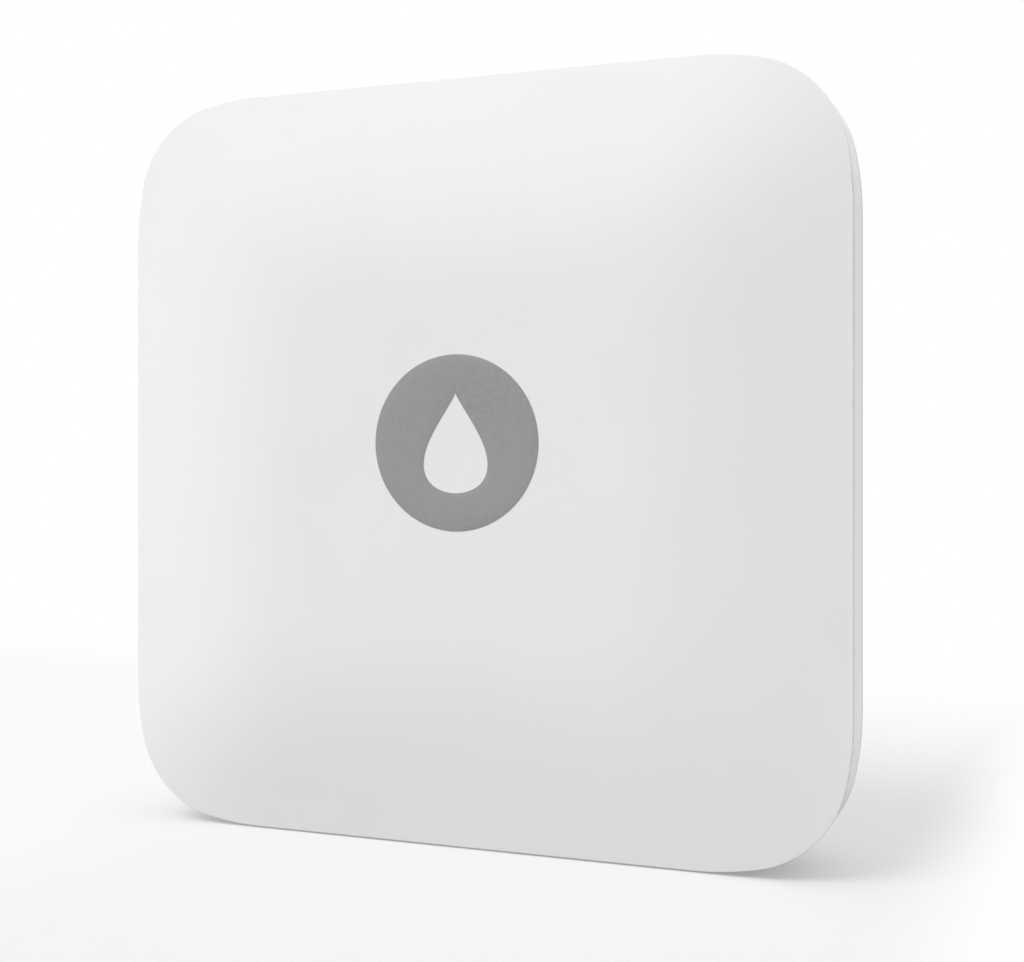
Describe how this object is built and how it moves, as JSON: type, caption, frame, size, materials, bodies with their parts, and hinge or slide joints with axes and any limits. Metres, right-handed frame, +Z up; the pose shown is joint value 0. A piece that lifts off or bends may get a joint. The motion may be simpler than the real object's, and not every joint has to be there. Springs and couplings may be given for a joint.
{
  "type": "water leak sensor",
  "caption": "Square battery leak sensor with a shallow domed cover, metal water-sensing studs on its back, a turning battery door and a pairing button.",
  "frame": {"origin": "bottom centre of the sensor standing on its lower edge, in the middle of its whole depth", "axes": "+Z up the face, -Y out of the domed front, +Y out of the back with its studs, +X to the right as seen from the front"},
  "size_m": [0.065, 0.0132, 0.065],
  "materials": {
    "black_chip": "moulded epoxy",
    "brass_disc": "rolled brass",
    "brown_ceramic": "fired ceramic chips with tinned ends",
    "cell_core": "pressed powder pellet",
    "cell_ring": "moulded polypropylene",
    "cell_steel": "nickel-plated pressed steel",
    "clear_guide": "polished clear polycarbonate",
    "green_board": "solder resist",
    "grey_button": "satin moulded",
    "grey_silicone": "moulded silicone",
    "lamp_body": "clear epoxy over a white body",
    "plated_stud": "turned and nickel-plated brass",
    "screw_steel": "nickel-plated",
    "spring_metal": "gold-flashed spring bronze",
    "switch_stem": "moulded nylon",
    "tinned_steel": "tinned",
    "white_ceramic": "fired ceramic",
    "white_cover": "satin moulded",
    "white_door": "fine spark-eroded grain",
    "white_shell": "satin moulded"
  },
  "bodies": {
    "housing": {"back_shell": "white_shell", "battery_can": "cell_steel", "battery_cap": "cell_steel", "battery_core": "cell_core", "battery_ring": "cell_ring", "circuit_board": "green_board", "controller_chip": "black_chip", "cover_gasket": "grey_silicone", "front_cover": "white_cover", "housing_screws": "screw_steel", "light_guide": "clear_guide", "negative_contact": "spring_metal", "positive_contact": "spring_metal", "push_nuts": "tinned_steel", "radio_antenna": "white_ceramic", "radio_board": "green_board", "radio_chip": "black_chip", "radio_shield": "tinned_steel", "small_parts": "brown_ceramic", "sounder_ceramic": "white_ceramic", "sounder_plate": "brass_disc", "sounder_spring_1": "spring_metal", "sounder_spring_2": "spring_metal", "status_led": "lamp_body", "stud_blade_1": "spring_metal", "stud_blade_2": "spring_metal", "stud_blade_3": "spring_metal", "stud_blade_4": "spring_metal", "stud_seal_1": "grey_silicone", "stud_seal_2": "grey_silicone", "stud_seal_3": "grey_silicone", "stud_seal_4": "grey_silicone", "switch_body": "black_chip", "water_stud_1": "plated_stud", "water_stud_2": "plated_stud", "water_stud_3": "plated_stud", "water_stud_4": "plated_stud"},
    "door": {"battery_door": "white_door", "door_seal": "grey_silicone"},
    "button": {"pairing_button": "grey_button", "button_seal": "grey_silicone"},
    "plunger": {"switch_plunger": "switch_stem"}
  },
  "joints": [
    {"name": "door_turn", "type": "hinge", "parent": "housing", "child": "door", "pos_m": [0, 0.005, 0.0325], "axis": [0, 1, 0], "range_deg": [0, 60]},
    {"name": "button_press", "type": "slide", "parent": "housing", "child": "button", "axis": [0, -1, 0], "range_m": [0, 0.0003], "stiffness_N_per_m": 2000, "springref_m": -0.0001},
    {"name": "plunger_press", "type": "slide", "parent": "housing", "child": "plunger", "axis": [0, -1, 0], "range_m": [0, 0.0003]}
  ],
  "couplings": [
    {"joint": "plunger_press", "follows": "button_press", "ratio": 1}
  ]
}
